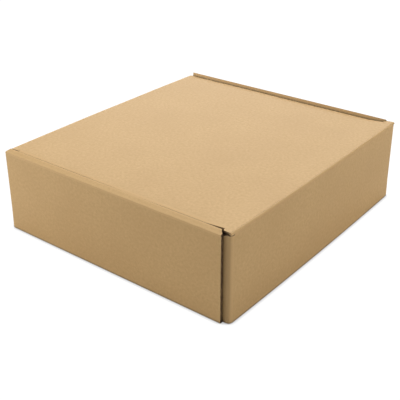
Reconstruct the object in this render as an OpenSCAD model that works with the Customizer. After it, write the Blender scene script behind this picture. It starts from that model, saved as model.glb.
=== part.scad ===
// Closed mailing box, die cut and folded from one sheet of corrugated board.
// X runs from the tuck-in front (-X) to the back wall with the lid's hinge (+X),
// Y across the box from one rolled side wall to the other, and Z up from the table.
// Lengths are in millimetres and angles in degrees.

/* [Box] */
// Outside length from the front wall to the back wall
box_length = 300; // [200:1:380]
// Outside width over the two rolled side walls
box_width = 326; // [220:1:400]
// Outside height to the ridge of the rolled side walls
box_height = 95.5; // [70:0.5:140]
// Thickness of the corrugated board
board = 3; // [1.8:0.1:3.6]

/* [Folds] */
// Inner radius of the folds at the base, the corners and the lid's flaps
fold_radius = 0.9; // [0.5:0.1:1.4]
// Free space left between two layers of board that lie face to face
layer_gap = 0.3; // [0.2:0.05:0.5]
// Free space between the rounded crease and the end of the lid's panel
crease_gap = 0.3; // [0.2:0.05:0.5]

/* [Rolled side walls] */
// Distance from the ends of an outer panel to the outside of the front and back walls
panel_inset = 8; // [6.5:0.1:11]
// Distance from the ends of the roll to the same faces, at its outer crease
roll_inset = 8.8; // [8.5:0.1:12]
// Distance from the ends of the inner panel to the same faces
inner_inset = 14; // [12:0.1:18]
// Slope of the roll from the outer crease up to the ridge
roll_rise_angle = 25; // [10:1:45]
// Slope of the roll from the ridge down to the inner crease
roll_fall_angle = 36; // [25:1:42]
// Distance of the ridge from the inner face of the outer panel
ridge_offset = 0.8; // [0.4:0.1:2.8]

/* [Locking tabs] */
// Length of each tab that locks an inner panel into the base
tab_length = 38; // [24:1:46]
// Distance of each tab's middle from the middle of the wall
tab_offset = 78; // [40:1:84]
// Play between a tab and its slot on every side
tab_play = 0.3; // [0.2:0.05:0.6]

/* [Corner flaps] */
// Length of the four flaps that lie inside the rolled side walls
ear_length = 72; // [40:1:84]
// Distance of their upper edges below the lid's upper face
ear_drop = 5; // [4.6:0.1:8]
// Height of the slanting relief next to the corner fold
ear_relief = 1.7; // [1:0.1:3]
// Fall of their upper edges from the corner fold to the free end
ear_fall = 2; // [0:0.5:6]
// Space between a corner fold and the end of the base fold beside it
notch_play = 0.5; // [0.3:0.1:1.5]
// Cut-off at the free lower end
ear_chamfer = 12; // [6:1:16]
// Height of the corner folds above the table
corner_lift = 0.8; // [0.5:0.1:1.5]

/* [Front wall] */
// Distance of the front wall's cut edge below the lid's upper face
front_drop = 2.5; // [1.5:0.1:4]
// Space between the corner folds at the back and the lid above them
corner_play = 0.5; // [0.3:0.1:1]

/* [Lid] */
// Distance of the lid's upper face below the ridges
lid_drop = 1.5; // [0.5:0.1:2.5]
// Space between a dust flap and the rolled wall's inner panel
lid_play = 0.5; // [0.4:0.1:1]
// Set-back of the lid's cut sides beside the dust flaps' folds
lid_cut_back = 0.5; // [0.2:0.1:1]
// Distance of the hinge line's ends from the corner folds' outer faces
hinge_inset = 1.9; // [1:0.1:3]
// Depth of the tuck flap
tuck_depth = 45; // [30:1:52]
// Distance of the tuck flap's sides from the lid's folded sides
tuck_side = 1; // [0.8:0.1:3]
// Radius of the tuck flap's lower corners
tuck_corner = 18; // [8:1:24]
// Lean of the tuck flap beyond the angle at which it just clears the front wall
tuck_lean_spare = 0.8; // [0.6:0.1:2]
// Depth of the two dust flaps
dust_depth = 50; // [30:1:56]
// Distance of the dust flaps' front ends from the outside of the front wall
dust_front = 15; // [14:0.5:24]
// Distance of the dust flaps' rear ends from the outside of the back wall
dust_rear = 12; // [10.5:0.5:20]
// Taper along the dust flaps' ends, measured level
dust_taper = 16; // [8:1:24]

/* [Hidden] */
$fn = 96;
kraft = [0.78, 0.64, 0.44];
half_length = box_length / 2;
half_width = box_width / 2;
fold_outer = fold_radius + board;
// outside of the corner flaps, one layer behind the outer panels
ear_face = half_width - board - layer_gap;
lid_top = box_height - lid_drop;
// hinge axis in the middle of the board, where lid and back wall meet
axis_x = half_length - board / 2;
axis_z = lid_top - board / 2;
hinge_end = axis_x - board / 2 - crease_gap;
hinge_half = ear_face - hinge_inset;
front_top = lid_top - front_drop;
corner_top = lid_top - board - corner_play;
// space between outer and inner panel, filled by a corner flap at each end
wall_space = board + 2 * layer_gap;
roll_rise = ridge_offset * tan(roll_rise_angle);
roll_fall = (wall_space - ridge_offset) * tan(roll_fall_angle);
outer_crease_z = box_height - board - roll_rise;
inner_crease_z = box_height - board - roll_fall;
inner_face = half_width - 2 * board - wall_space;
// outer faces of the dust flaps and of the tuck flap
dust_face = inner_face - lid_play;
tuck_face = half_length - board - layer_gap;
tuck_hub = tuck_face - fold_outer;
tuck_lean = atan(tuck_depth / (2 * box_length)) + tuck_lean_spare;
// angle by which the arcs of a roll run on inside the straight runs beside them
lap = 1;

// Sector of a disc between two angles less than a half turn apart
module sector(r, from, to) {
    reach = 2 * r;
    middle = (from + to) / 2;
    intersection() {
        circle(r = r);
        polygon([
            [0, 0],
            [reach * cos(from), reach * sin(from)],
            [reach * cos(middle), reach * sin(middle)],
            [reach * cos(to), reach * sin(to)]
        ]);
    }
}

// Section of a fold in the board, with the inner radius r
module fold(r, from, to) {
    difference() {
        sector(r + board, from, to);
        circle(r = r);
    }
}

// Draws a section in Y and Z and runs it along X, both ways from the middle
module along_x(length) {
    rotate([90, 0, 90])
        linear_extrude(height = length, center = true)
            children();
}

// Draws a section in X and Z and runs it along Y, both ways from the middle
module along_y(length) {
    rotate([90, 0, 0])
        linear_extrude(height = length, center = true)
            children();
}

// Base panel with the four slots for the locking tabs and the notched corners
module base_panel() {
    notch = [2 * (panel_inset + notch_play), 2 * (half_width - ear_face + fold_outer)];
    linear_extrude(height = board)
        difference() {
            square([box_length - 2 * fold_outer, box_width - 2 * fold_outer], center = true);
            for (x = [-1, 1], y = [-1, 1]) {
                translate([x * tab_offset, y * (inner_face + board / 2)])
                    square([tab_length + 2 * tab_play, board + 2 * tab_play], center = true);
                translate([x * half_length, y * half_width])
                    square(notch, center = true);
            }
        }
}

// Back wall with its base fold and the rounded crease that carries the lid
module back_wall() {
    wall_length = 2 * (ear_face - fold_outer);
    along_y(wall_length) {
        translate([half_length - fold_outer, fold_outer])
            fold(fold_radius, -90, 0);
        translate([half_length - board, fold_outer])
            square([board, axis_z - fold_outer]);
    }
    along_y(2 * hinge_half)
        translate([axis_x, axis_z])
            circle(d = board);
}

// Front wall with its base fold and its cut upper edge
module front_wall() {
    wall_length = 2 * (ear_face - fold_outer);
    along_y(wall_length) {
        translate([fold_outer - half_length, fold_outer])
            fold(fold_radius, 180, 270);
        translate([-half_length, fold_outer])
            square([board, front_top - fold_outer]);
    }
}

// Corner fold and the flap that goes between the layers of a rolled side wall
module corner_flap(fold_top) {
    flap_top = lid_top - ear_drop;
    flap_bottom = board + layer_gap;
    root = half_length - fold_outer;
    shoulder = half_length - panel_inset - notch_play;
    translate([root, ear_face - fold_outer, corner_lift])
        linear_extrude(height = fold_top - corner_lift)
            fold(fold_radius, 0, 90);
    translate([0, ear_face - board / 2, 0])
        along_y(board)
            polygon([
                [root, corner_lift],
                [root, flap_top + ear_relief],
                [root - ear_relief, flap_top],
                [root - ear_length, flap_top - ear_fall],
                [root - ear_length, flap_bottom + ear_chamfer],
                [root - ear_length + ear_chamfer, flap_bottom],
                [shoulder, flap_bottom],
                [shoulder, corner_lift]
            ]);
}

// Roll over the top of a side wall, between the outer and the inner crease
module roll_section(length) {
    ridge_y = half_width - board - ridge_offset;
    ridge_z = outer_crease_z + roll_rise;
    along_x(length) {
        translate([half_width - board, outer_crease_z])
            sector(board, 45 - roll_rise_angle / 2 - lap, 90 - roll_rise_angle + lap);
        translate([ridge_y, ridge_z])
            rotate(-roll_rise_angle)
                square([ridge_offset / cos(roll_rise_angle), board]);
        translate([ridge_y, ridge_z])
            sector(board, 90 - roll_rise_angle - lap, 90 + roll_fall_angle + lap);
        translate([inner_face + board, inner_crease_z])
            rotate(roll_fall_angle)
                square([(wall_space - ridge_offset) / cos(roll_fall_angle), board]);
        translate([inner_face + board, inner_crease_z])
            sector(board, 90 + roll_fall_angle - lap, 180 + lap);
    }
}

// Rolled side wall: outer panel, roll over the top, inner panel and its tabs
module rolled_wall() {
    outer_length = box_length - 2 * panel_inset;
    roll_length = box_length - 2 * roll_inset;
    roll_half = roll_length / 2;
    inner_half = half_length - inner_inset;
    along_x(outer_length) {
        translate([half_width - fold_outer, fold_outer])
            fold(fold_radius, -90, 0);
        translate([half_width - board, fold_outer])
            square([board, outer_crease_z - fold_outer]);
        translate([half_width - board, outer_crease_z])
            sector(board, -lap, 45 - roll_rise_angle / 2);
    }
    along_x(2 * inner_half)
        translate([inner_face, board + layer_gap])
            square([board, inner_crease_z - board - layer_gap]);
    intersection() {
        roll_section(roll_length);
        // the roll's ends slant between its creases to the length of the inner panel
        linear_extrude(height = box_height + board)
            polygon([
                [-roll_half, half_width + board],
                [-roll_half, half_width - board],
                [-inner_half, inner_face + board],
                [-inner_half, inner_face - board],
                [inner_half, inner_face - board],
                [inner_half, inner_face + board],
                [roll_half, half_width - board],
                [roll_half, half_width + board]
            ]);
    }
    for (x = [-1, 1])
        translate([x * tab_offset, 0, 0])
            along_x(tab_length)
                translate([inner_face, layer_gap])
                    square([board, 2 * board]);
}

// Tray: the part of the sheet that stands on the table
module tray() {
    color(kraft) {
        base_panel();
        back_wall();
        front_wall();
        for (side = [0, 1])
            mirror([0, side, 0]) {
                rolled_wall();
                corner_flap(corner_top);
                mirror([1, 0, 0])
                    corner_flap(front_top);
            }
    }
}

// Lid panel, with shoulders that widen to the full hinge line
module lid_panel() {
    flat_half = dust_face - fold_outer;
    edge_half = dust_face - lid_cut_back;
    shoulder = hinge_half - edge_half;
    front = -tuck_hub;
    dust_start = dust_front - half_length;
    dust_end = half_length - dust_rear;
    translate([0, 0, lid_top - board])
        linear_extrude(height = board) {
            translate([front, -flat_half])
                square([hinge_end - front, 2 * flat_half]);
            translate([front, -edge_half])
                square([dust_start - front, 2 * edge_half]);
            polygon([
                [dust_end, -edge_half],
                [hinge_end - shoulder, -edge_half],
                [hinge_end, -hinge_half],
                [hinge_end, hinge_half],
                [hinge_end - shoulder, edge_half],
                [dust_end, edge_half]
            ]);
        }
}

// Dust flap that hangs inside a rolled side wall
module dust_flap() {
    front = dust_front - half_length;
    rear = half_length - dust_rear;
    root = lid_top - fold_outer;
    foot = lid_top - dust_depth;
    translate([(front + rear) / 2, 0, 0])
        along_x(rear - front)
            translate([dust_face - fold_outer, root])
                fold(fold_radius, 0, 90);
    translate([0, dust_face - board / 2, 0])
        along_y(board)
            polygon([
                [front, root],
                [front + dust_taper, foot],
                [rear - dust_taper, foot],
                [rear, root]
            ]);
}

// Tuck flap that leans inwards behind the front wall
module tuck_flap() {
    half = dust_face - tuck_side;
    length = tuck_depth - fold_outer;
    translate([-tuck_hub, 0, lid_top - fold_outer]) {
        along_y(2 * half)
            fold(fold_radius, 90, 180 + tuck_lean);
        // the flap's own plane: X along the flap, Y across it
        rotate([0, 90 - tuck_lean, 0])
            translate([0, 0, -fold_outer])
                linear_extrude(height = board) {
                    translate([0, -half])
                        square([length - tuck_corner, 2 * half]);
                    translate([0, tuck_corner - half])
                        square([length, 2 * (half - tuck_corner)]);
                    for (side = [-1, 1])
                        translate([length - tuck_corner, side * (half - tuck_corner)])
                            circle(r = tuck_corner);
                }
    }
}

// Lid: the part of the sheet that turns about the crease on the back wall
module lid() {
    color(kraft) {
        lid_panel();
        tuck_flap();
        for (side = [0, 1])
            mirror([0, side, 0])
                dust_flap();
    }
}

tray();
lid();
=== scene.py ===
"""Closed mailing box, die cut and folded from one sheet of brown corrugated board."""

import logging
import math
from collections.abc import Callable, Iterable, Sequence
from dataclasses import dataclass, field
from enum import Enum

import bmesh
import bpy
from mathutils import Matrix, Vector, noise


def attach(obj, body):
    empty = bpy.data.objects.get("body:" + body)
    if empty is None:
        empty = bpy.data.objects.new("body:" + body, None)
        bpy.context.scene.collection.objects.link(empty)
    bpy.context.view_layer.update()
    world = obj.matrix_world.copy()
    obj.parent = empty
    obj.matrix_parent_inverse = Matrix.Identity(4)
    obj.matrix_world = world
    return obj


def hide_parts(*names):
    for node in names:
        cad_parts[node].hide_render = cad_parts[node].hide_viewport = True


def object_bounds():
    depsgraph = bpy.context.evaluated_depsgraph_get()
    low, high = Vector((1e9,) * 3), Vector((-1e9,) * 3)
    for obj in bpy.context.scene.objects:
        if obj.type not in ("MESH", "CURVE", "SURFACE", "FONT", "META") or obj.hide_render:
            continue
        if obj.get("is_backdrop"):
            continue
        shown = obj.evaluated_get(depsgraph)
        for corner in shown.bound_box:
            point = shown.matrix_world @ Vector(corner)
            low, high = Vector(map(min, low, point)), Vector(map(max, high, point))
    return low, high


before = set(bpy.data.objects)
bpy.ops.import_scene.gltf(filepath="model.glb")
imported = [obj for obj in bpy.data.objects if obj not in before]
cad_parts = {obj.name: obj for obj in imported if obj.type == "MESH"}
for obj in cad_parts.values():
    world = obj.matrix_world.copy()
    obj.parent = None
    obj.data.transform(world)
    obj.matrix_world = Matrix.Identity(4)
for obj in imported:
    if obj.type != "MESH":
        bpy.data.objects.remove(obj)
cad_low, cad_high = (tuple(corner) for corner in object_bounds())

Point = tuple[float, float]
Triple = tuple[float, float, float]
Socket = bpy.types.NodeSocket

LOG = logging.getLogger("mailing_box")
MM = 0.001
TINY = 1e-6
WANDER_SEED = 11
SHEET_MAP = "sheet"
# Colour of the painted shade in narrow seams, where little light gets in.
PAINTED_SEAM_SHADE: Triple = (0.06, 0.026, 0.007)


class Across(Enum):
    """Which way a strip of board runs on the flat blank, seen against its flutes."""

    ALONG_FLUTES = "u"
    OVER_FLUTES = "v"


class Face(Enum):
    """Material slots of a folded piece of board."""

    OUTER_LINER = 0
    INNER_LINER = 1
    CUT_EDGE = 2


@dataclass(frozen=True)
class Board:
    """Corrugated board and the way it folds.

    Attributes:
        thick: Thickness of the board.
        fold_radius: Inner radius of a scored fold.
        corner_radius: Inner radius of the folds at the four corners.
        crush_radius: Inner radius of a fold in a roll, where the board is crushed.
        gap: Free space between layers that lie face to face.
        fold_crisp: Sharpness of the outer liner on a base fold, from 0 to 1.
        fold_end_wear: Wear of the paper where a fold ends, from 0 to 1.
        short_run: Length of the short division of a straight run next to a fold.
        sharp_angle: Angle in degrees from which two faces meet in a sharp edge.
        flute_pitch: Distance from one flute to the next.
    """

    thick: float = 3.0 * MM
    fold_radius: float = 0.9 * MM
    corner_radius: float = 2.2 * MM
    crush_radius: float = 0.2 * MM
    gap: float = 0.3 * MM
    fold_crisp: float = 0.75
    fold_end_wear: float = 0.35
    short_run: float = 2.5 * MM
    sharp_angle: float = 38
    flute_pitch: float = 6.4 * MM

    @property
    def fold_outer(self) -> float:
        """Outer radius of a scored fold."""
        return self.fold_radius + self.thick

    @property
    def corner_outer(self) -> float:
        """Outer radius of a corner fold."""
        return self.corner_radius + self.thick


@dataclass(frozen=True)
class Outline:
    """Outside sizes that the sub-assemblies share.

    Attributes:
        half_length: From the middle to the outside of the front or back wall.
        half_width: From the middle to the outside of a rolled side wall.
        lid_top: Height of the lid's upper face at the hinge.
        roll_space: Free depth between the two layers of a rolled side wall.
    """

    half_length: float = 150.0 * MM
    half_width: float = 163.0 * MM
    lid_top: float = 94.0 * MM
    roll_space: float = 3.6 * MM


BOARD = Board()
BOX = Outline()
EAR_FACE = BOX.half_width - BOARD.thick - BOARD.gap
INNER_FACE = BOX.half_width - 2 * BOARD.thick - BOX.roll_space
AXIS_X = BOX.half_length - BOARD.thick / 2
AXIS_Z = BOX.lid_top - BOARD.thick / 2


class Blank:
    """Board being folded: a bmesh whose points know their place on the flat sheet."""

    def __init__(self) -> None:
        """Start with an empty mesh and its layers."""
        self.mesh = bmesh.new()
        layers = self.mesh.verts.layers.float
        self.u = layers.new("blank_u")
        self.v = layers.new("blank_v")
        self.side = layers.new("board_side")
        self.wear = layers.new("wear")
        self.run = layers.new("run")
        self.sweep = layers.new("sweep")
        self.placed = self.mesh.verts.layers.int.new("placed")

    def fresh(self) -> list[bmesh.types.BMVert]:
        """Return the points of the part that is being added."""
        return [v for v in self.mesh.verts if not v[self.placed]]

    def settle(self) -> None:
        """Mark the part that was being added as placed."""
        for vert in self.fresh():
            vert[self.placed] = 1

    def plate(
        self,
        outline: Sequence[Point],
        level: float,
        outer_up: bool,
        place: Callable[[float, float], Point],
        lines_x: Sequence[float] = (),
        lines_y: Sequence[float] = (),
        slots: Sequence[tuple[float, float, float, float]] = (),
    ) -> None:
        """Add a flat panel of board.

        Args:
            outline: Corners of the panel in X and Y.
            level: Height of its lower face.
            outer_up: Whether the outer liner is the upper face.
            place: Gives the place on the blank for a point in X and Y.
            lines_x: X values at which the panel is divided.
            lines_y: Y values at which the panel is divided.
            slots: Openings, each as low X, low Y, high X and high Y.
        """
        bm = self.mesh
        bm.faces.new([bm.verts.new((x, y, level)) for x, y in outline])
        cuts = [(x, 0) for x in lines_x] + [(y, 1) for y in lines_y]
        for low_x, low_y, high_x, high_y in slots:
            cuts += [(low_x, 0), (high_x, 0), (low_y, 1), (high_y, 1)]
        for value, axis in cuts:
            fresh = self.fresh()
            faces = each_once(f for v in fresh for f in v.link_faces)
            edges = each_once(e for v in fresh for e in v.link_edges)
            normal = Vector((1 - axis, axis, 0))
            bmesh.ops.bisect_plane(
                bm,
                geom=[*fresh, *edges, *faces],
                dist=TINY / 10,
                plane_co=normal * value,
                plane_no=normal,
            )
        panel = each_once(f for v in self.fresh() for f in v.link_faces)
        holes = [face for face in panel if in_slot(face.calc_center_median(), slots)]
        panel = [face for face in panel if face not in holes]
        if holes:
            bmesh.ops.delete(bm, geom=holes, context="FACES")
        lower = each_once(v for f in panel for v in f.verts)
        raised = bmesh.ops.extrude_face_region(bm, geom=panel)["geom"]
        upper = [g for g in raised if isinstance(g, bmesh.types.BMVert)]
        bmesh.ops.translate(bm, verts=upper, vec=(0, 0, BOARD.thick))
        for verts, side in ((lower, not outer_up), (upper, outer_up)):
            for vert in verts:
                vert[self.u], vert[self.v] = place(vert.co.x, vert.co.y)
                vert[self.side] = float(side)
        self.settle()

    def to_object(self, name: str, finishes: Sequence[bpy.types.Material]) -> bpy.types.Object:
        """Turn the folded board into an object with its faces sorted by finish.

        Args:
            name: Name of the object and its mesh.
            finishes: Materials of the outer liner, the inner liner and the cut edges.

        Returns:
            The finished object.
        """
        bm = self.mesh
        bmesh.ops.recalc_face_normals(bm, faces=bm.faces[:])
        sheet = bm.loops.layers.uv.new(SHEET_MAP)
        for face in bm.faces:
            sides = [v[self.side] for v in face.verts]
            if max(sides) - min(sides) > 0.5:
                kind = Face.CUT_EDGE
            else:
                kind = Face.OUTER_LINER if sides[0] > 0.5 else Face.INNER_LINER
            face.material_index = kind.value
            face.smooth = True
            for loop in face.loops:
                vert = loop.vert
                if kind is Face.CUT_EDGE:
                    loop[sheet].uv = (vert[self.v], vert[self.side])
                else:
                    loop[sheet].uv = (vert[self.u], vert[self.v])
        data = bpy.data.meshes.new(name)
        bm.to_mesh(data)
        bm.free()
        for layer in ("blank_u", "blank_v", "board_side", "run", "sweep", "placed"):
            data.attributes.remove(data.attributes[layer])
        data.set_sharp_from_angle(angle=math.radians(BOARD.sharp_angle))
        for finish in finishes:
            data.materials.append(finish)
        piece = bpy.data.objects.new(name, data)
        bpy.context.scene.collection.objects.link(piece)
        return piece


class Strip:
    """Strip of board that grows along its section, straight run by fold."""

    def __init__(
        self,
        blank: Blank,
        start: Point,
        heading: float,
        plane: Matrix,
        blank_from: float,
        blank_sign: int,
        across: Across,
        outer_left: bool,
    ) -> None:
        """Place the first edge across the board's thickness.

        Args:
            blank: Mesh that the strip becomes part of.
            start: Middle of the board in the section's plane.
            heading: Direction of the strip in that plane, in degrees.
            plane: Turns section coordinates, with the sweep as Z, into place.
            blank_from: Place of the start on the blank.
            blank_sign: Whether that place grows or falls along the strip.
            across: Direction of the strip on the blank.
            outer_left: Whether the outer liner is on the left of the heading.
        """
        self.blank = blank
        self.place = Vector((*start, 0))
        self.heading = math.radians(heading)
        self.plane = plane
        self.blank_from = blank_from
        self.blank_sign = blank_sign
        self.across = across
        self.faces: list[bmesh.types.BMFace] = []
        self.distance = 0.0
        bm = blank.mesh
        left = self._left() * (BOARD.thick / 2)
        ends = (self.place + left, self.place - left)
        self.ends = [bm.verts.new(end) for end in ends]
        for vert, is_left in zip(self.ends, (True, False)):
            vert[blank.side] = float(is_left == outer_left)
        self.edge = bm.edges.new(self.ends)

    def _left(self) -> Vector:
        """Return the unit vector to the left of the heading."""
        return Vector((-math.sin(self.heading), math.cos(self.heading), 0))

    def _grow(self, wear: float) -> list[bmesh.types.BMVert]:
        """Extrude the last edge without moving it.

        Args:
            wear: Wear of the paper at the new edge, from 0 to 1.

        Returns:
            The two points of the new edge.
        """
        bm = self.blank.mesh
        made = bmesh.ops.extrude_edge_only(bm, edges=[self.edge])["geom"]
        verts = [g for g in made if isinstance(g, bmesh.types.BMVert)]
        self.edge = next(
            g for g in made if isinstance(g, bmesh.types.BMEdge) and set(g.verts) == set(verts)
        )
        self.faces += list(self.edge.link_faces)
        for vert in verts:
            vert[self.blank.run] = self.distance
            vert[self.blank.wear] = wear
        return verts

    def go(self, *lengths: float) -> "Strip":
        """Run straight on, one division of the strip for each length.

        Args:
            lengths: Lengths of the divisions, one after the other.

        Returns:
            The strip itself.
        """
        ahead = Vector((math.cos(self.heading), math.sin(self.heading), 0))
        for length in lengths:
            self.distance += length
            verts = self._grow(0.0)
            bmesh.ops.translate(self.blank.mesh, verts=verts, vec=ahead * length)
            self.place += ahead * length
        return self

    def turn(self, angle: float, inner_radius: float, crisp: float, steps: int = 6) -> "Strip":
        """Fold the board.

        Args:
            angle: Angle of the fold in degrees, positive to the left.
            inner_radius: Radius on the inside of the fold.
            crisp: Sharpness of the outer liner on the fold, from 0, round, to 1, sharp.
            steps: Number of divisions round the fold.

        Returns:
            The strip itself.
        """
        radius = inner_radius + BOARD.thick / 2
        side = math.copysign(1, angle)
        centre = self.place + self._left() * radius * side
        whole = abs(math.radians(angle))
        step = math.radians(angle) / steps
        bulge = 1.0
        for index in range(steps):
            self.distance += radius * abs(step)
            verts = self._grow(1.0 if index < steps - 1 else BOARD.fold_end_wear)
            spin = Matrix.Rotation(step, 3, "Z")
            bmesh.ops.rotate(self.blank.mesh, verts=verts, cent=centre, matrix=spin)
            self.place = centre + spin @ (self.place - centre)
            past = min(index + 1, steps - index - 1) * abs(step)
            reach = 1 + crisp * (1 / math.cos(min(past, whole / 2)) - 1)
            outer = max(verts, key=lambda vert: (vert.co - centre).length)
            outer.co = centre + (outer.co - centre) * (reach / bulge)
            bulge = reach
        self.heading += math.radians(angle)
        return self

    def spread(self, ends: Callable[[float], Point], rows: int) -> None:
        """Sweep the section into a strip of board, from its low to its high end.

        Args:
            ends: Gives both ends of the sweep for a distance along the strip.
            rows: Number of divisions along the sweep.
        """
        blank, bm = self.blank, self.blank.mesh
        made = bmesh.ops.extrude_face_region(bm, geom=self.faces)["geom"]
        high = [g for g in made if isinstance(g, bmesh.types.BMVert)]
        for vert in high:
            vert[blank.sweep] = 1.0
        long_edges = [e for v in high for e in v.link_edges if e.other_vert(v)[blank.sweep] < 0.5]
        if rows > 1:
            bmesh.ops.subdivide_edges(bm, edges=long_edges, cuts=rows - 1, use_grid_fill=True)
        fresh = blank.fresh()
        for vert in fresh:
            first, last = ends(vert[blank.run])
            along = first + (last - first) * vert[blank.sweep]
            vert.co.z = along
            place = self.blank_from + self.blank_sign * vert[blank.run]
            if self.across is Across.ALONG_FLUTES:
                vert[blank.u], vert[blank.v] = place, along
            else:
                vert[blank.u], vert[blank.v] = along, place
        bmesh.ops.transform(bm, matrix=self.plane, verts=fresh)
        blank.settle()


def in_slot(place: Vector, slots: Sequence[tuple[float, float, float, float]]) -> bool:
    """Return whether a point lies in one of some openings.

    Args:
        place: Point on a panel.
        slots: Openings, each as low X, low Y, high X and high Y.

    Returns:
        Whether the point is in an opening.
    """
    return any(
        low_x < place.x < high_x and low_y < place.y < high_y
        for low_x, low_y, high_x, high_y in slots
    )


def each_once(items: Iterable[object]) -> list[object]:
    """Return the items without repeats, in their first order."""
    return list(dict.fromkeys(items))


def evenly(length: float, parts: int) -> list[float]:
    """Return the lengths of the equal parts of a length."""
    return [length / parts] * parts


def from_fold(length: float, parts: int, to_fold: bool = False) -> list[float]:
    """Divide a straight run of board that starts at a fold.

    Args:
        length: Whole length of the run.
        parts: Number of its long divisions.
        to_fold: Whether it ends at a fold too.

    Returns:
        The divisions, with a short one next to each fold.
    """
    short = BOARD.short_run
    if to_fold:
        return [short, *evenly(length - 2 * short, parts), short]
    return [short, *evenly(length - short, parts)]


def lines(low: float, high: float, parts: int) -> list[float]:
    """Return the inner division lines of a span that is cut into equal parts."""
    return [low + (high - low) * index / parts for index in range(1, parts)]


def smooth(value: float, low: float, high: float) -> float:
    """Rise from 0 at low to 1 at high with level ends.

    Args:
        value: Value to weigh.
        low: Value at which the rise starts.
        high: Value at which it ends.

    Returns:
        Weight from 0 to 1.
    """
    share = min(max((value - low) / (high - low), 0.0), 1.0)
    return share * share * (3 - 2 * share)


def section_yz(side: int) -> Matrix:
    """Return the plane of a section across the box, swept along X, for one side of it."""
    return Matrix(((0, 0, 1, 0), (side, 0, 0, 0), (0, 1, 0, 0), (0, 0, 0, 1)))


def section_xz(end: int) -> Matrix:
    """Return the plane of a section along the box, swept along Y, for one end of it."""
    return Matrix(((end, 0, 0, 0), (0, 0, 1, 0), (0, 1, 0, 0), (0, 0, 0, 1)))


def section_xy(end: int, side: int) -> Matrix:
    """Return the plane of a level section, swept up Z, for one corner of the box."""
    return Matrix(((end, 0, 0, 0), (0, side, 0, 0), (0, 0, 1, 0), (0, 0, 0, 1)))


@dataclass
class BasePanel:
    """Base of the tray, with notched corners and slots for the locking tabs."""

    half_x: float = BOX.half_length - BOARD.fold_outer
    half_y: float = BOX.half_width - BOARD.fold_outer
    notch_x: float = BOX.half_length - 8.5 * MM
    notch_y: float = EAR_FACE - BOARD.corner_outer
    tab_offset: float = 78.0 * MM
    slot_half: float = 19.3 * MM
    slot_play: float = 0.3 * MM
    parts: int = 10

    def build(self, blank: Blank) -> None:
        """Add the base panel.

        Args:
            blank: Mesh that it becomes part of.
        """
        corner = [
            (self.half_x, self.notch_y),
            (self.notch_x, self.notch_y),
            (self.notch_x, self.half_y),
        ]
        half = corner + [(-x, y) for x, y in reversed(corner)]
        outline = half + [(-x, -y) for x, y in half]
        slots = []
        for x in (-self.tab_offset, self.tab_offset):
            for side in (-1, 1):
                inner = side * (INNER_FACE - self.slot_play)
                outer = side * (INNER_FACE + BOARD.thick + self.slot_play)
                low_y, high_y = sorted((inner, outer))
                slots.append((x - self.slot_half, low_y, x + self.slot_half, high_y))
        blank.plate(
            outline,
            0.0,
            False,
            lambda x, y: (x, y),
            lines_x=lines(-self.half_x, self.half_x, self.parts),
            lines_y=lines(-self.half_y, self.half_y, self.parts),
            slots=slots,
        )


@dataclass
class EndWall:
    """Front or back wall, with the base fold that it rises from.

    Attributes:
        end: 1 for the back wall and -1 for the front wall.
        top: Height at which the straight part of the wall ends.
        half: Half the length of the wall.
        rows: Number of divisions along it.
        parts: Number of long divisions up it.
    """

    end: int
    top: float
    half: float = EAR_FACE - BOARD.corner_outer
    rows: int = 24
    parts: int = 8

    def build(self, blank: Blank) -> None:
        """Add the wall.

        Args:
            blank: Mesh that it becomes part of.
        """
        root = BOX.half_length - BOARD.fold_outer
        strip = Strip(
            blank,
            (root, BOARD.thick / 2),
            0,
            section_xz(self.end),
            self.end * root,
            self.end,
            Across.ALONG_FLUTES,
            False,
        )
        strip.turn(90, BOARD.fold_radius, BOARD.fold_crisp)
        strip.go(*from_fold(self.top - BOARD.fold_outer, self.parts, True))
        strip.spread(lambda run: (-self.half, self.half), self.rows)


@dataclass
class HingeCrease:
    """Crushed crease along the top of the back wall, round which the lid turns."""

    half: float = EAR_FACE - 1.9 * MM
    round_steps: int = 24
    rows: int = 24

    def build(self, blank: Blank) -> None:
        """Add the crease as a round rod of the board's thickness.

        Args:
            blank: Mesh that it becomes part of.
        """
        bm = blank.mesh
        radius = BOARD.thick / 2
        made = bmesh.ops.create_cone(
            bm,
            cap_ends=True,
            segments=self.round_steps,
            radius1=radius,
            radius2=radius,
            depth=2 * self.half,
        )["verts"]
        turn = Matrix.Rotation(math.radians(90), 3, "X")
        bmesh.ops.rotate(bm, verts=made, cent=(0, 0, 0), matrix=turn)
        edges = each_once(e for v in made for e in v.link_edges)
        long_edges = [e for e in edges if e.calc_length() > self.half]
        bmesh.ops.subdivide_edges(bm, edges=long_edges, cuts=self.rows - 1, use_grid_fill=True)
        rod = blank.fresh()
        for vert in rod:
            round_run = math.atan2(-vert.co.x, vert.co.z) * radius
            vert[blank.u] = BOX.half_length + AXIS_Z + round_run
            vert[blank.v] = vert.co.y
            vert[blank.side] = 1.0
            vert[blank.wear] = 1.0
        bmesh.ops.translate(bm, verts=rod, vec=(AXIS_X, 0, AXIS_Z))
        blank.settle()


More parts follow.
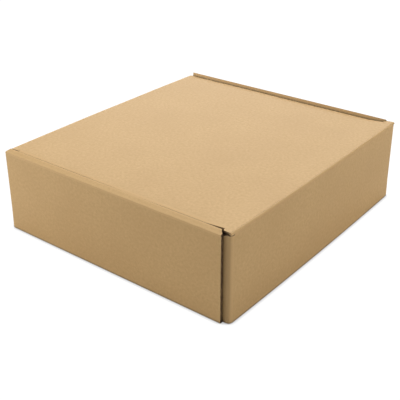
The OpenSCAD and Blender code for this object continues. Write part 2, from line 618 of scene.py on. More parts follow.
@dataclass
class CornerFlap:
    """Flap that turns a corner and lies between the layers of a rolled side wall.

    Attributes:
        end: 1 at the back wall and -1 at the front wall.
        side: 1 or -1 for the side of the box.
        fold_top: Height of the corner fold.
        length: From the fold to the flap's free end.
        lift: Height of the fold's lower end.
        flap_top: Height of the flap next to the fold.
        relief: Length over which its upper edge falls from the fold to that height.
        fall: How far the upper edge falls from there to the free end.
        shoulder: Length of the part that keeps the fold's lower edge.
        step: Length over which the lower edge steps up behind that part.
        chamfer: Length of the cut-off lower corner at the free end.
        crisp: Sharpness of the corner fold, from 0 to 1.
        round_steps: Number of divisions round the fold.
        parts: Number of divisions along the flap's even part.
        chamfer_parts: Number of divisions along the cut-off corner.
        rows: Number of divisions up the flap.
    """

    end: int
    side: int
    fold_top: float
    length: float = 72.0 * MM
    lift: float = 0.8 * MM
    flap_top: float = 89.3 * MM
    relief: float = 3.0 * MM
    fall: float = 2.0 * MM
    shoulder: float = 3.3 * MM
    step: float = 0.3 * MM
    chamfer: float = 12.0 * MM
    crisp: float = 0.25
    round_steps: int = 10
    parts: int = 4
    chamfer_parts: int = 2
    rows: int = 8

    def _ends(self, run: float) -> Point:
        """Give the edges of the flap at one place.

        Args:
            run: Distance from the end of the wall, round the fold.

        Returns:
            Heights of the lower and the upper edge.
        """
        past = run - math.pi / 2 * (BOARD.corner_radius + BOARD.thick / 2)
        if past < TINY:
            return self.lift, self.fold_top
        if past < self.relief + TINY:
            top = self.fold_top - (self.fold_top - self.flap_top) * past / self.relief
        else:
            top = self.flap_top - self.fall * (past - self.relief) / (self.length - self.relief)
        bottom = self.lift if past < self.shoulder + TINY else BOARD.thick + BOARD.gap
        bottom += max(0.0, past - (self.length - self.chamfer))
        return bottom, min(top, self.fold_top)

    def build(self, blank: Blank) -> None:
        """Add the corner fold and its flap.

        Args:
            blank: Mesh that they become part of.
        """
        wall_end = EAR_FACE - BOARD.corner_outer
        strip = Strip(
            blank,
            (BOX.half_length - BOARD.thick / 2, wall_end),
            90,
            section_xy(self.end, self.side),
            self.side * wall_end,
            self.side,
            Across.OVER_FLUTES,
            False,
        )
        strip.turn(90, BOARD.corner_radius, self.crisp, self.round_steps)
        strip.go(self.relief, self.shoulder - self.relief, self.step)
        even = self.length - self.shoulder - self.step - self.chamfer
        strip.go(*evenly(even, self.parts), *evenly(self.chamfer, self.chamfer_parts))
        strip.spread(self._ends, self.rows)


@dataclass
class RolledWall:
    """Double side wall: outer panel, roll over the top, inner panel and two tabs.

    Attributes:
        side: 1 or -1 for the side of the box.
        crease_z: Height at which the outer panel turns into the roll.
        rise: Slope of the roll's outer part towards the inside, in degrees.
        drop: Slope of its inner part down towards the inside, in degrees.
        climb: Level length of the outer part.
        inner_crisp: Sharpness of the inner crease, from 0 to 1.
        outer_crisp: Sharpness of the outer crease, from 0 to 1.
        ridge_crisp: Sharpness of the ridge, from 0 to 1.
        ridge_run: Length of the short division on either side of the ridge.
        panel_half: From the middle to the back end of the outer panel.
        roll_half: From the middle to the back end of the roll's outer edge.
        inner_half: From the middle to the back end of the inner panel.
        front_panel_half: From the middle to the front end of the outer panel.
        front_roll_half: From the middle to the front end of the roll's outer edge.
        front_inner_half: From the middle to the front end of the inner panel.
        step: Distance past the outer crease at which the panel's end steps to the roll's.
        tab_offset: From the middle to the middle of a locking tab, along the box.
        tab_half: Half the length of a tab.
        rows: Number of divisions along the wall.
        parts: Number of long divisions up each panel.
        round_steps: Number of divisions round the ridge and round the inner crease.
        crease_steps: Number of divisions round the outer crease.
    """

    side: int
    crease_z: float
    rise: float
    drop: float
    climb: float
    inner_crisp: float
    outer_crisp: float = 0.7
    ridge_crisp: float = 0.85
    ridge_run: float = 0.4 * MM
    panel_half: float = BOX.half_length - 8.0 * MM
    roll_half: float = BOX.half_length - 8.4 * MM
    inner_half: float = BOX.half_length - 14.0 * MM
    front_panel_half: float = BOX.half_length - 6.6 * MM
    front_roll_half: float = BOX.half_length - 6.4 * MM
    front_inner_half: float = BOX.half_length - 8.0 * MM
    step: float = 0.5 * MM
    tab_offset: float = 78.0 * MM
    tab_half: float = 19.0 * MM
    rows: int = 24
    parts: int = 8
    round_steps: int = 8
    crease_steps: int = 10

    def build(self, blank: Blank) -> None:
        """Add the rolled wall.

        Args:
            blank: Mesh that it becomes part of.
        """
        crush, steps, short = BOARD.crush_radius, self.round_steps, self.ridge_run
        radius = crush + BOARD.thick / 2
        rise, drop = math.radians(self.rise), math.radians(self.drop)
        level = BOX.roll_space + BOARD.thick - 2 * radius
        up = self.climb / math.cos(rise)
        down = (level - self.climb) / math.cos(drop)
        root = BOX.half_width - BOARD.fold_outer
        strip = Strip(
            blank,
            (root, BOARD.thick / 2),
            0,
            section_yz(self.side),
            self.side * root,
            self.side,
            Across.OVER_FLUTES,
            False,
        )
        strip.turn(90, BOARD.fold_radius, BOARD.fold_crisp)
        strip.go(*from_fold(self.crease_z - BOARD.fold_outer, self.parts, True))
        crease_run = strip.distance
        strip.turn(90 - self.rise, crush, self.outer_crisp, self.crease_steps)
        roll_run = strip.distance
        strip.go(up - short, short)
        strip.turn(self.rise + self.drop, crush, self.ridge_crisp, steps)
        strip.go(short, down - short)
        roll_width = strip.distance - roll_run
        strip.turn(90 - self.drop, crush, self.inner_crisp, steps)
        foot = BOARD.thick + BOARD.gap
        strip.go(*from_fold(strip.place.y - foot, self.parts))
        inner_end = strip.distance

        def ends(run: float) -> Point:
            """Give both ends of the wall at one place.

            Args:
                run: Distance from the base fold, up and over the roll.

            Returns:
                X of the front and of the back end.
            """
            if run < crease_run + self.step:
                return -self.front_panel_half, self.panel_half
            share = min(max((run - roll_run) / roll_width, 0.0), 1.0)
            front = self.front_roll_half + (self.front_inner_half - self.front_roll_half) * share
            back = self.roll_half + (self.inner_half - self.roll_half) * share
            return -front, back

        strip.spread(ends, self.rows)
        for offset in (-self.tab_offset, self.tab_offset):
            tab = Strip(
                blank,
                (INNER_FACE + BOARD.thick / 2, foot),
                -90,
                section_yz(self.side),
                self.side * (root + inner_end),
                self.side,
                Across.OVER_FLUTES,
                False,
            )
            tab.go(BOARD.thick)
            span = (offset - self.tab_half, offset + self.tab_half)
            tab.spread(lambda run, span=span: span, 1)


@dataclass
class Tray:
    """Everything that stands on the table: base, walls, corner flaps and rolls."""

    front_top: float = 88.8 * MM
    corner_top: float = 90.9 * MM
    near_roll: RolledWall = field(
        default_factory=lambda: RolledWall(
            side=-1, crease_z=89.3 * MM, rise=14, drop=50, climb=2.6 * MM, inner_crisp=0.5
        )
    )
    far_roll: RolledWall = field(
        default_factory=lambda: RolledWall(
            side=1, crease_z=87.7 * MM, rise=44, drop=79, climb=1.9 * MM, inner_crisp=0.4
        )
    )

    def build(self, finishes: Sequence[bpy.types.Material]) -> bpy.types.Object:
        """Fold the tray and return its object.

        Args:
            finishes: Materials of the outer liner, the inner liner and the cut edges.

        Returns:
            The tray.
        """
        blank = Blank()
        BasePanel().build(blank)
        EndWall(end=1, top=AXIS_Z).build(blank)
        EndWall(end=-1, top=self.front_top).build(blank)
        HingeCrease().build(blank)
        for side in (-1, 1):
            CornerFlap(end=1, side=side, fold_top=self.corner_top).build(blank)
            CornerFlap(end=-1, side=side, fold_top=self.front_top).build(blank)
        self.near_roll.build(blank)
        self.far_roll.build(blank)
        give_way(blank.mesh, Settling().tray)
        return blank.to_object("folded_tray", finishes)


@dataclass
class Lid:
    """Lid panel with its tuck flap and its two dust flaps.

    Attributes:
        hinge_half: Half the length of the hinge line.
        side_face: From the middle to the outside of the dust flaps.
        cut_back: How far the panel's cut edges stand in from there.
        shoulder: Points of the shoulder, past the dust flap and past the cut edge.
        front_face: From the middle to the outside of the tuck flap.
        tuck_depth: Depth of the tuck flap.
        tuck_side: How far its ends stand in from the dust flaps.
        tuck_corner: Radius of its lower corners.
        tuck_angles: Angles in degrees at which those corners are divided.
        tuck_lean: Lean of the tuck flap inwards, in degrees.
        tuck_crisp: Sharpness of its fold, from 0 to 1.
        dust_depth: Depth of a dust flap.
        dust_front: From the front of the box to the flap's front end.
        dust_rear: From the back of the box to its rear end.
        dust_taper: How far its ends run in towards the free edge.
        dust_crisp: Sharpness of its fold, from 0 to 1.
        fold_steps: Number of divisions round a fold.
        crease_play: Free space between the hinge crease and the panel's round end.
        hinge_run: Width of the short division next to the hinge.
        panel_parts: Numbers of divisions of the panel along X and along Y.
        tuck_parts: Numbers of long divisions down the tuck flap and along it.
        dust_parts: Numbers of long divisions down a dust flap and along it.
    """

    hinge_half: float = EAR_FACE - 2.2 * MM
    side_face: float = INNER_FACE - 0.5 * MM
    cut_back: float = 0.5 * MM
    shoulder: tuple[Point, ...] = ((0.3 * MM, 0.0), (1.9 * MM, 4.3 * MM))
    front_face: float = BOX.half_length - BOARD.thick - BOARD.gap
    tuck_depth: float = 45.0 * MM
    tuck_side: float = 1.0 * MM
    tuck_corner: float = 18.0 * MM
    tuck_angles: tuple[float, ...] = (0, 20, 38, 54, 67, 78, 84, 89.4)
    tuck_lean: float = 5.09
    tuck_crisp: float = 0.35
    dust_depth: float = 50.0 * MM
    dust_front: float = 15.0 * MM
    dust_rear: float = 12.0 * MM
    dust_taper: float = 16.0 * MM
    dust_crisp: float = 0.7
    fold_steps: int = 8
    crease_play: float = 0.06 * MM
    hinge_run: float = 2.0 * MM
    panel_parts: tuple[int, int] = (28, 30)
    tuck_parts: tuple[int, int] = (4, 28)
    dust_parts: tuple[int, int] = (6, 26)

    def _blank_place(self, x: float, y: float) -> Point:
        """Return the place on the blank of a point on the lid panel."""
        return BOX.half_length + AXIS_Z + AXIS_X - x, y

    def panel(self, blank: Blank) -> None:
        """Add the lid panel, with shoulders that widen to the hinge line.

        Args:
            blank: Mesh that it becomes part of.
        """
        front = -self.front_face + BOARD.fold_outer
        flat = self.side_face - BOARD.fold_outer
        edge = self.side_face - self.cut_back
        dust_start = self.dust_front - BOX.half_length
        dust_end = BOX.half_length - self.dust_rear
        hinge = AXIS_X
        half = [
            (front, edge),
            (dust_start, edge),
            (dust_start, flat),
            (dust_end, flat),
            (dust_end, edge),
            *((dust_end + back, edge + out) for back, out in self.shoulder),
            (hinge, self.hinge_half),
        ]
        outline = half + [(x, -y) for x, y in reversed(half)]
        blank.plate(
            outline,
            BOX.lid_top - BOARD.thick,
            True,
            self._blank_place,
            lines_x=[*lines(front, hinge, self.panel_parts[0]), hinge - self.hinge_run],
            lines_y=lines(-flat, flat, self.panel_parts[1]),
        )
        reach = BOARD.thick / 2 + self.crease_play
        ends = [v for v in blank.mesh.verts if abs(v.co.x - hinge) < TINY]
        for vert in ends:
            rise = vert.co.z - AXIS_Z
            vert.co.x = AXIS_X - math.sqrt(max(reach**2 - rise**2, 0.0))

    def tuck_flap(self, blank: Blank) -> None:
        """Add the tuck flap, which leans inwards behind the front wall.

        Args:
            blank: Mesh that it becomes part of.
        """
        half = self.side_face - self.tuck_side
        root = self.front_face - BOARD.fold_outer
        strip = Strip(
            blank,
            (root, BOX.lid_top - BOARD.thick / 2),
            0,
            section_xz(-1),
            self._blank_place(-root, 0)[0],
            1,
            Across.ALONG_FLUTES,
            True,
        )
        strip.turn(-90 - self.tuck_lean, BOARD.fold_radius, self.tuck_crisp, self.fold_steps)
        straight = self.tuck_depth - BOARD.fold_outer - self.tuck_corner
        corner_run = strip.distance + straight
        strip.go(*from_fold(straight, self.tuck_parts[0]))
        shares = [math.sin(math.radians(angle)) for angle in self.tuck_angles]
        strip.go(*(self.tuck_corner * (b - a) for a, b in zip(shares, shares[1:])))

        def ends(run: float) -> Point:
            """Give both ends of the flap, which narrows round its lower corners.

            Args:
                run: Distance from the start of the flap's fold.

            Returns:
                Y of the low and of the high end.
            """
            past = max(0.0, run - corner_run)
            inset = self.tuck_corner - math.sqrt(max(self.tuck_corner**2 - past**2, 0.0))
            return inset - half, half - inset

        strip.spread(ends, self.tuck_parts[1])

    def dust_flap(self, blank: Blank, side: int) -> None:
        """Add the dust flap that hangs inside one rolled side wall.

        Args:
            blank: Mesh that it becomes part of.
            side: 1 or -1 for the side of the box.
        """
        front = self.dust_front - BOX.half_length
        rear = BOX.half_length - self.dust_rear
        root = self.side_face - BOARD.fold_outer
        strip = Strip(
            blank,
            (root, BOX.lid_top - BOARD.thick / 2),
            0,
            section_yz(side),
            side * root,
            side,
            Across.OVER_FLUTES,
            True,
        )
        strip.turn(-90, BOARD.fold_radius, self.dust_crisp, self.fold_steps)
        bend_run = strip.distance
        depth = self.dust_depth - BOARD.fold_outer
        strip.go(*from_fold(depth, self.dust_parts[0]))

        def ends(run: float) -> Point:
            """Give both ends of the flap, which tapers towards its free edge.

            Args:
                run: Distance from the start of the flap's fold.

            Returns:
                X of the front and of the rear end.
            """
            inset = self.dust_taper * max(0.0, run - bend_run) / depth
            return front + inset, rear - inset

        strip.spread(ends, self.dust_parts[1])

    def build(self, finishes: Sequence[bpy.types.Material]) -> bpy.types.Object:
        """Fold the lid and return its object.

        Args:
            finishes: Materials of the outer liner, the inner liner and the cut edges.

        Returns:
            The lid.
        """
        blank = Blank()
        self.panel(blank)
        self.tuck_flap(blank)
        self.dust_flap(blank, -1)
        self.dust_flap(blank, 1)
        give_way(blank.mesh, Settling().lid)
        return blank.to_object("folded_lid", finishes)


@dataclass(frozen=True)
class Settling:
    """How the folded board gives way, a little off its ideal folds.

    Attributes:
        wander_length: Length over which a face wanders.
        tray_wander: Reach of the wander of the tray's walls.
        lid_wander: Reach of the wander of the lid.
        tray_seed: Tells the tray's wander from the lid's.
        lid_seed: Tells the lid's wander from the tray's.
        foot: Heights between which the walls start to give way.
        wall: From the middle to where a front or back wall starts to do so, and to its plane.
        side: The same for a rolled wall.
        hinge: The same for where the lid follows the back wall.
        back_bow: How far the ends of the back wall stand in from its middle.
        bow_loss: Share of that bow that is gone at the height of the lid.
        back_lean: Lean of the back wall inwards.
        lean: Lean of the other walls inwards.
        stiff_share: Share of the lid's length over which its sag begins.
        sag: Sag of the lid in its middle.
        tilt: How much more it sags at the near side than in the middle.
        side_sag: How much more it sags at both sides.
    """

    wander_length: float = 75 * MM
    tray_wander: float = 0.22 * MM
    lid_wander: float = 0.25 * MM
    tray_seed: float = 3.1
    lid_seed: float = 7.7
    foot: Point = (2 * MM, 25 * MM)
    wall: Point = (100 * MM, 145 * MM)
    side: Point = (130 * MM, 152 * MM)
    hinge: Point = (120 * MM, 146 * MM)
    back_bow: float = 1.7 * MM
    bow_loss: float = 0.25
    back_lean: float = 0.2 * MM
    lean: float = 0.3 * MM
    stiff_share: float = 0.12
    sag: float = 1.4 * MM
    tilt: float = 0.2 * MM
    side_sag: float = 0.75 * MM

    def ripple(self, place: Vector, seed: float) -> Vector:
        """Return a slow wander of at most about 1 each way; the seed tells wanders apart."""
        return noise.noise_vector(place / self.wander_length + Vector((seed, seed, seed)))

    def bow(self, place: Vector) -> float:
        """Return how far the back wall stands in from its plane at a point.

        Args:
            place: Point of the tray.

        Returns:
            The distance.
        """
        share = min(abs(place.y) / BOX.half_width, 1.0)
        return self.back_bow * share**2 * (1 - self.bow_loss * place.z / BOX.lid_top)

    def tray(self, place: Vector) -> Vector:
        """Return the small shift of a point of the tray.

        Args:
            place: Point of the tray.

        Returns:
            The shift.
        """
        wander = self.ripple(place, self.tray_seed) * self.tray_wander
        height = smooth(place.z, *self.foot)
        shift = Vector((wander.x * height, wander.y * height, 0))
        back = smooth(place.x, *self.wall)
        front = smooth(-place.x, *self.wall)
        shift.x -= back * (self.bow(place) + self.back_lean * height)
        shift.x += front * self.lean * height
        for side in (-1, 1):
            wall = smooth(side * place.y, *self.side)
            shift.y -= side * wall * self.lean * height
        return shift

    def lid(self, place: Vector) -> Vector:
        """Return the small shift of a point of the lid.

        Args:
            place: Point of the lid.

        Returns:
            The shift.
        """
        back = smooth(place.x, *self.hinge)
        reach = (AXIS_X - place.x) / (2 * AXIS_X)
        across = max(-1.0, min(place.y / self.side[1], 1.0))
        off_hinge = smooth(reach, 0.0, self.stiff_share)
        fall = self.sag - self.tilt * across + self.side_sag * abs(across) ** 3
        rise = self.ripple(place, self.lid_seed).z * self.lid_wander - fall
        return Vector((self.tray(place).x * back, 0, rise * off_hinge))


def give_way(bm: bmesh.types.BMesh, shift: Callable[[Vector], Vector]) -> None:
    """Let the folded board settle and keep it inside the box that it was drawn in.

    Args:
        bm: Mesh of the folded board.
        shift: Gives the shift for each point.
    """
    for vert in bm.verts:
        moved = vert.co + shift(vert.co.copy())
        vert.co = Vector(
            min(max(value, low), high) for value, low, high in zip(moved, cad_low, cad_high)
        )


@dataclass(frozen=True)
class Relief:
    """Relief of a paper's surface."""

    strength: float
    depth: float


class Nodes:
    """Small helper that places, sets and links the nodes of one node tree."""

    def __init__(self, tree: bpy.types.NodeTree) -> None:
        """Keep the tree that the nodes go into."""
        self.tree = tree
        self.count = 0

    def feed(self, socket: Socket, term: object) -> None:
        """Link an output to an input, or set the input.

        Args:
            socket: Input to feed.
            term: Output, number, vector, or colour of three channels.
        """
        if isinstance(term, bpy.types.NodeSocket):
            self.tree.links.new(term, socket)
        elif socket.type == "RGBA":
            socket.default_value = (*term, 1.0)
        else:
            socket.default_value = term

    def add(
        self, kind: str, inputs: dict[str | int, object] | None = None, **settings: object
    ) -> bpy.types.Node:
        """Add a node.

        Args:
            kind: Blender's name of the node type.
            inputs: What feeds each input that doesn't keep its default.
            settings: Properties of the node.

        Returns:
            The new node.
        """
        node = self.tree.nodes.new(kind)
        node.location = (190 * (self.count % 8), -260 * (self.count // 8))
        self.count += 1
        for name, value in settings.items():
            setattr(node, name, value)
        for name, term in (inputs or {}).items():
            self.feed(node.inputs[name], term)
        return node

    def math(self, operation: str, *terms: object) -> Socket:
        """Add a Math node.

        Args:
            operation: Operation of the node.
            terms: Numbers or outputs, in the order of its inputs.

        Returns:
            The result.
        """
        return self.add("ShaderNodeMath", dict(enumerate(terms)), operation=operation).outputs[0]

    def noise(self, vector: Socket, scale: float, detail: float, roughness: float) -> Socket:
        """Add a Noise Texture node.

        Args:
            vector: Place at which the noise is read.
            scale: Number of its coarsest waves in a metre.
            detail: Number of octaves.
            roughness: Weight of the finer octaves.

        Returns:
            The noise, from 0 to 1.
        """
        inputs = {"Vector": vector, "Scale": scale, "Detail": detail, "Roughness": roughness}
        return self.add("ShaderNodeTexNoise", inputs).outputs["Fac"]

    def range(
        self, value: Socket, low: object, high: object, to_low: float, to_high: float
    ) -> Socket:
        """Add a Map Range node with clamped ends.

        Args:
            value: Output that is mapped.
            low: Low end of its range, as a number or an output.
            high: High end of its range, as a number or an output.
            to_low: Result at the low end.
            to_high: Result at the high end.

        Returns:
            The result.
        """
        ends = {"From Min": low, "From Max": high, "To Min": to_low, "To Max": to_high}
        return self.add("ShaderNodeMapRange", {"Value": value, **ends}).outputs["Result"]

    def mix(self, share: Socket, first: object, second: object) -> Socket:
        """Add a colour Mix node.

        Args:
            share: How much of the second colour shows.
            first: Colour or output.
            second: Colour or output.

        Returns:
            The mixed colour.
        """
        inputs = {0: share, 6: first, 7: second}
        return self.add("ShaderNodeMix", inputs, data_type="RGBA").outputs[2]

    def seen(self) -> Socket:
        """Return 1 for what the camera sees, straight or through something clear, or else 0."""
        path = self.add("ShaderNodeLightPath").outputs
        return self.math("MAXIMUM", path["Is Camera Ray"], path["Is Transmission Ray"])

    def surface(self, shader: bpy.types.Node, kind: str = "ShaderNodeOutputMaterial") -> None:
        """Link a shader to the output of the tree."""
        self.add(kind, {"Surface": shader.outputs[0]})

    def paper(self, colour: Socket, rough: object, relief: Socket, lift: Relief) -> None:
        """Finish a material as rough paper with a relief.

        Args:
            colour: Colour of the paper.
            rough: Roughness, as a number or an output.
            relief: Height of the relief.
            lift: Strength and depth of the relief.
        """
        inputs = {"Strength": lift.strength, "Distance": lift.depth, "Height": relief}
        normal = self.add("ShaderNodeBump", inputs).outputs[0]
        inputs = {"Base Color": colour, "Roughness": rough, "Normal": normal}
        self.surface(self.add("ShaderNodeBsdfPrincipled", inputs))


def new_material(name: str) -> tuple[bpy.types.Material, Nodes]:
    """Make a material with an empty node tree.

    Args:
        name: Name of the material.

    Returns:
        The material and its node helper.
    """
    material = bpy.data.materials.new(name)
    material.use_nodes = True
    material.node_tree.nodes.clear()
    return material, Nodes(material.node_tree)


def new_group(
    name: str, inputs: dict[str, float | None], outputs: Sequence[str]
) -> tuple[bpy.types.NodeTree, Nodes, bpy.types.NodeOutputs]:
    """Make an empty shader node group with named sockets.

    Args:
        name: Name of the group.
        inputs: Default of each number that goes in, or None for a vector.
        outputs: Names of the numbers that come out.

    Returns:
        The group, its node helper and what goes into it.
    """
    group = bpy.data.node_groups.new(name, "ShaderNodeTree")
    for label, default in inputs.items():
        kind = "NodeSocketVector" if default is None else "NodeSocketFloat"
        socket = group.interface.new_socket(label, in_out="INPUT", socket_type=kind)
        if default is not None:
            socket.default_value = default
    for label in outputs:
        group.interface.new_socket(label, in_out="OUTPUT", socket_type="NodeSocketFloat")
    nodes = Nodes(group)
    return group, nodes, nodes.add("NodeGroupInput").outputs


@dataclass(frozen=True)
class PaperGrain:
    """Grain of kraft paper. The sizes are numbers of waves in a metre."""

    cloud: float = 14
    mottle: float = 340
    fibre: float = 1900
    crossing: float = 1400
    speck: float = 900
    cross_turn: float = 0.5
    fibre_length: float = 5.0

    def make(self) -> bpy.types.NodeTree:
        """Build the group of the paper's surface, which all faces of the board share.

        Returns:
            A group with masks for clouds, mottle, fibres and specks, and a height.
        """
        group, n, given = new_group(
            "paper_fibre",
            {"Vector": None, "Fibre Length": self.fibre_length},
            ("Cloud", "Mottle", "Fibre", "Speck", "Height"),
        )
        sheet = given["Vector"]
        shorten = n.math("DIVIDE", 1.0, given["Fibre Length"])
        squeeze = n.add("ShaderNodeCombineXYZ", {0: shorten, 1: 1.0, 2: 1.0}).outputs[0]
        times = {"operation": "MULTIPLY"}
        drawn = n.add("ShaderNodeVectorMath", {0: sheet, 1: squeeze}, **times).outputs[0]
        askew = {"Vector": drawn, "Rotation": (0, 0, self.cross_turn)}
        turned = n.add("ShaderNodeMapping", askew).outputs[0]
        along = n.noise(drawn, self.fibre, 2, 0.5)
        lines_up = n.range(along, 0.55, 0.75, 0, 1)
        unbroken = n.range(n.noise(turned, self.crossing, 2, 0.5), 0.35, 0.6, 0, 1)
        mottle = n.noise(sheet, self.mottle, 4, 0.65)
        results = {
            "Cloud": n.noise(sheet, self.cloud, 3, 0.55),
            "Mottle": mottle,
            "Fibre": n.math("MULTIPLY", lines_up, unbroken),
            "Speck": n.range(n.noise(sheet, self.speck, 1, 0.4), 0.68, 0.78, 0, 1),
            "Height": n.math("MULTIPLY", n.math("ADD", along, mottle), 0.5),
        }
        n.add("NodeGroupOutput", results)
        return group


def narrow_seam_group() -> bpy.types.NodeTree:
    """Build the mask of the painted shade in the narrow seams between two layers of board.

    Returns:
        A group whose mask is 1 deep in a seam, where the painted shade is full, and 0 on an open
        face.
    """
    group, n, given = new_group(
        "painted_seam_shade", {"Reach": 6.5 * MM, "Closed": 0.35, "Open": 0.74}, ["Depth"]
    )
    # Ambient occlusion over a short reach sets where the painted shade falls.
    near = n.add("ShaderNodeAmbientOcclusion", {"Distance": given["Reach"]}, samples=12)
    depth = n.range(near.outputs["AO"], given["Closed"], given["Open"], 1.0, 0.0)
    n.add("NodeGroupOutput", {"Depth": depth})
    return group


@dataclass(frozen=True)
class SharedGroups:
    """Node groups that the board's materials share."""

    fibre: bpy.types.NodeTree
    seam: bpy.types.NodeTree


@dataclass(frozen=True)
class KraftLiner:
    """Brown kraft liner of the board.

    Attributes:
        name: Name of the material.
        tone: Main colour, linear.
        dark: Colour of the darker clouds and specks.
        pale: Colour of the paler fibres.
        worn: Colour of the stretched paper on a fold.
        rough: Roughness.
        mottle_share: Strength of the mottle, from 0 to 1.
        fibre_share: Strength of the fibres, from 0 to 1.
        speck_share: Strength of the specks, from 0 to 1.
        flute_show: Height of the faint washboard of the flutes.
        grain_show: Height of the paper's grain.
        relief: Relief of the surface.
        seam_shade: Strength of the painted shade in a narrow seam, from 0 to 1.
    """

    name: str
    tone: Triple
    dark: Triple
    pale: Triple
    worn: Triple
    rough: float = 0.62
    mottle_share: float = 0.85
    fibre_share: float = 0.5
    speck_share: float = 0.8
    flute_show: float = 0.10
    grain_show: float = 0.35
    relief: Relief = Relief(0.35, 0.25 * MM)
    seam_shade: float = 0.96

    def make(self, groups: SharedGroups) -> bpy.types.Material:
        """Build the material.

        Args:
            groups: Node groups that the board's materials share.

        Returns:
            The material.
        """
        material, n = new_material(self.name)
        sheet = n.add("ShaderNodeUVMap", uv_map=SHEET_MAP).outputs["UV"]
        grain = n.add("ShaderNodeGroup", {"Vector": sheet}, node_tree=groups.fibre).outputs
        wear = n.add("ShaderNodeAttribute", attribute_name="wear").outputs["Fac"]
        mottle = grain["Mottle"]
        colour = n.mix(n.range(grain["Cloud"], 0.3, 0.7, 0.5, 1.0), self.dark, self.tone)
        colour = n.mix(n.range(mottle, 0.32, 0.68, 0.0, self.mottle_share), colour, self.dark)
        colour = n.mix(n.math("MULTIPLY", grain["Fibre"], self.fibre_share), colour, self.pale)
        colour = n.mix(n.math("MULTIPLY", grain["Speck"], self.speck_share), colour, self.dark)
        rubbed = n.math("MULTIPLY", wear, n.range(mottle, 0.3, 0.7, 0.2, 0.8))
        colour = n.mix(rubbed, colour, self.worn)
        # Painted shade: the liner darkens where the seam mask finds little room for light.
        deep = n.add("ShaderNodeGroup", node_tree=groups.seam).outputs["Depth"]
        colour = n.mix(n.math("MULTIPLY", deep, self.seam_shade), colour, PAINTED_SEAM_SHADE)
        over_flutes = n.add("ShaderNodeSeparateXYZ", {0: sheet}).outputs[1]
        turn = n.math("MULTIPLY", over_flutes, math.tau / BOARD.flute_pitch)
        wave = n.math("MULTIPLY", n.math("SINE", turn), self.flute_show)
        relief = n.math("ADD", wave, n.math("MULTIPLY", grain["Height"], self.grain_show))
        rough = n.range(mottle, 0.3, 0.7, self.rough - 0.06, self.rough + 0.08)
        n.paper(colour, rough, relief, self.relief)
        return material


@dataclass(frozen=True)
class CutEdge:
    """Die-cut edge of the board: flutes between the two liners, with painted shade in the hollows
    between them.
    """

    name: str = "kraft_cut_edge"
    paper: Triple = (0.50, 0.33, 0.16)
    liner: Triple = (0.60, 0.42, 0.21)
    # Painted shade in the open channels between the flutes.
    flute_hollow_shade: Triple = (0.085, 0.045, 0.018)
    rough: float = 0.85
    fibre_length: float = 1.5
    wave_height: float = 0.33
    wander: float = 1.6
    fibre_share: float = 0.4
    relief: Relief = Relief(0.8, 0.4 * MM)
    # closed, opened and seam_shade set the painted shade of the cut edge in narrow seams.
    closed: float = 0.45
    opened: float = 0.95
    seam_shade: float = 0.95

    def make(self, groups: SharedGroups) -> bpy.types.Material:
        """Build the material.

        Args:
            groups: Node groups that the board's materials share.

        Returns:
            The material.
        """
        material, n = new_material(self.name)
        sheet = n.add("ShaderNodeUVMap", uv_map=SHEET_MAP).outputs["UV"]
        place = n.add("ShaderNodeTexCoord").outputs["Object"]
        inputs = {"Vector": place, "Fibre Length": self.fibre_length}
        grain = n.add("ShaderNodeGroup", inputs, node_tree=groups.fibre).outputs
        run, through, _ = n.add("ShaderNodeSeparateXYZ", {0: sheet}).outputs
        turn = n.math("MULTIPLY", run, math.tau / BOARD.flute_pitch)
        wander = n.math("MULTIPLY", n.math("SUBTRACT", grain["Cloud"], 0.5), self.wander)
        wave = n.math("SINE", n.math("ADD", turn, wander))
        medium_at = n.math("ADD", 0.5, n.math("MULTIPLY", wave, self.wave_height))
        off_medium = n.math("ABSOLUTE", n.math("SUBTRACT", through, medium_at))
        medium = n.range(off_medium, 0.06, 0.13, 1, 0)
        off_middle = n.math("ABSOLUTE", n.math("SUBTRACT", through, 0.5))
        liner = n.range(off_middle, 0.36, 0.41, 0, 1)
        crushed = n.range(grain["Mottle"], 0.42, 0.66, 0, 0.75)
        solid = n.math("MAXIMUM", medium, crushed)
        # Painted shade fills the hollows where no medium stands.
        colour = n.mix(solid, self.flute_hollow_shade, self.paper)
        colour = n.mix(liner, colour, self.liner)
        colour = n.mix(n.math("MULTIPLY", grain["Fibre"], self.fibre_share), colour, self.liner)
        # Painted shade: the cut edge darkens where the seam mask finds little room for light.
        inputs = {"Closed": self.closed, "Open": self.opened}
        deep = n.add("ShaderNodeGroup", inputs, node_tree=groups.seam).outputs["Depth"]
        colour = n.mix(n.math("MULTIPLY", deep, self.seam_shade), colour, PAINTED_SEAM_SHADE)
        n.paper(colour, self.rough, n.math("MAXIMUM", solid, liner), self.relief)
        return material


@dataclass(frozen=True)
class StudioWhite:
    """White studio floor: a little real soft shadow from its matte share, and a painted contact
    shadow where its glow dims near the object.
    """

    name: str = "studio_white"
    tone: Triple = (0.82, 0.82, 0.82)
    lift: float = 0.93
    glow: float = 1.08
    shade: float = 0.5
    shadow_reach: float = 6.0 * MM

    def make(self) -> bpy.types.Material:
        """Build the material.

        Returns:
            The material.
        """
        material, n = new_material(self.name)
        # Painted contact shadow: the glow dims from glow to shade where ambient occlusion finds
        # the object near.
        near = n.add("ShaderNodeAmbientOcclusion", {"Distance": self.shadow_reach}, samples=8)
        strength = n.range(near.outputs["AO"], 0.35, 0.8, self.shade, self.glow)
        matte = n.add("ShaderNodeBsdfDiffuse", {"Color": self.tone}).outputs[0]
        bright = n.add("ShaderNodeEmission", {"Strength": strength}).outputs[0]
        share = n.math("MULTIPLY", n.seen(), self.lift)
        n.surface(n.add("ShaderNodeMixShader", {0: share, 1: matte, 2: bright}))
        return material


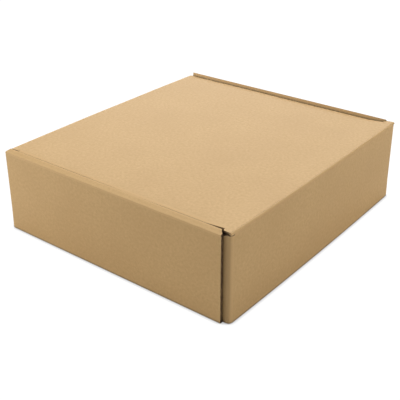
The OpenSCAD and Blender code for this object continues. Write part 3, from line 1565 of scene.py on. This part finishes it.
@dataclass(frozen=True)
class Lamp:
    """Soft rectangular lamp."""

    name: str
    place: Triple
    target: Triple
    width: float
    height: float
    watts: float

    def hang(self) -> None:
        """Put the lamp into the scene."""
        data = bpy.data.lights.new(self.name, "AREA")
        data.shape = "RECTANGLE"
        data.size, data.size_y = self.width, self.height
        data.energy = self.watts
        lamp = bpy.data.objects.new(self.name, data)
        lamp.location = self.place
        aim = Vector(self.target) - Vector(self.place)
        lamp.rotation_euler = aim.to_track_quat("-Z", "Y").to_euler()
        bpy.context.scene.collection.objects.link(lamp)


@dataclass
class Studio:
    """Floor, lamps, world and camera around the box."""

    floor_half: float = 6.0
    floor_drop: float = 0.05 * MM
    lens: float = 68.748
    camera_place: Triple = (0.47323, -0.61368, 0.42246)
    azimuth: float = 38.075
    elevation: float = 24.898
    roll: float = 0.278
    shift_y: float = -0.1
    near_clip: float = 0.05
    far_clip: float = 50.0
    ambient: float = 0.04
    lamps: tuple[Lamp, ...] = (
        Lamp("top_softbox", (0.0, 0.0, 1.5), (0, 0, 0.05), 1.4, 1.4, 13),
        Lamp("back_softbox", (-0.9, 1.35, 0.85), (0, 0, 0.09), 2.0, 1.0, 22),
        Lamp("left_softbox", (-1.05, -0.8, 0.45), (-0.1, -0.1, 0.04), 0.6, 0.6, 10.8),
        Lamp("right_softbox", (1.3, 0.45, 0.55), (0.1, 0.0, 0.04), 0.8, 0.8, 7.1),
    )

    def floor(self) -> None:
        """Lay the floor."""
        bm = bmesh.new()
        bmesh.ops.create_grid(bm, x_segments=2, y_segments=2, size=self.floor_half)
        bmesh.ops.translate(bm, verts=bm.verts[:], vec=(0, 0, -self.floor_drop))
        data = bpy.data.meshes.new("studio_floor")
        bm.to_mesh(data)
        bm.free()
        data.materials.append(StudioWhite().make())
        floor = bpy.data.objects.new("studio_floor", data)
        bpy.context.scene.collection.objects.link(floor)
        floor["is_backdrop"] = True

    def world(self) -> None:
        """Make the world white for the camera and plain light for the object."""
        world = bpy.data.worlds.new("studio_world")
        world.use_nodes = True
        world.node_tree.nodes.clear()
        n = Nodes(world.node_tree)
        strength = n.range(n.seen(), 0, 1, self.ambient, 1.0)
        inputs = {"Color": (1.0, 1.0, 1.0), "Strength": strength}
        n.surface(n.add("ShaderNodeBackground", inputs), "ShaderNodeOutputWorld")
        bpy.context.scene.world = world

    def camera(self) -> None:
        """Set the camera at the photograph's angle."""
        data = bpy.data.cameras.new("photo_camera")
        data.sensor_width = 36.0
        data.lens = self.lens
        data.shift_y = self.shift_y
        data.clip_start, data.clip_end = self.near_clip, self.far_clip
        camera = bpy.data.objects.new("photo_camera", data)
        camera.location = self.camera_place
        camera.rotation_euler = (
            math.radians(90 - self.elevation),
            math.radians(self.roll),
            math.radians(self.azimuth),
        )
        bpy.context.scene.collection.objects.link(camera)
        bpy.context.scene.camera = camera

    def build(self) -> None:
        """Set up the whole studio."""
        self.floor()
        self.world()
        for lamp in self.lamps:
            lamp.hang()
        self.camera()
        bpy.context.scene.view_settings.view_transform = "Standard"


def main() -> None:
    """Build the studio and the box, and report each piece."""
    logging.basicConfig(level=logging.INFO, format="%(name)s: %(message)s")
    noise.seed_set(WANDER_SEED)
    Studio().build()
    groups = SharedGroups(PaperGrain().make(), narrow_seam_group())
    outer = KraftLiner(
        "kraft_outer",
        tone=(0.672, 0.44, 0.188),
        dark=(0.555, 0.342, 0.136),
        pale=(0.76, 0.53, 0.27),
        worn=(0.68, 0.44, 0.195),
    )
    inner = KraftLiner(
        "kraft_inner",
        tone=(0.64, 0.435, 0.21),
        dark=(0.58, 0.385, 0.175),
        pale=(0.74, 0.55, 0.31),
        worn=(0.62, 0.42, 0.20),
    )
    finishes = [finish.make(groups) for finish in (outer, inner, CutEdge())]
    for part, body, slot in ((Tray(), "tray", "tray_board"), (Lid(), "lid", "lid_board")):
        piece = part.build(finishes)
        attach(piece, body)
        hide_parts(body)
        LOG.info("%s: %d faces", piece.name, len(piece.data.polygons))


if __name__ == "__main__":
    main()
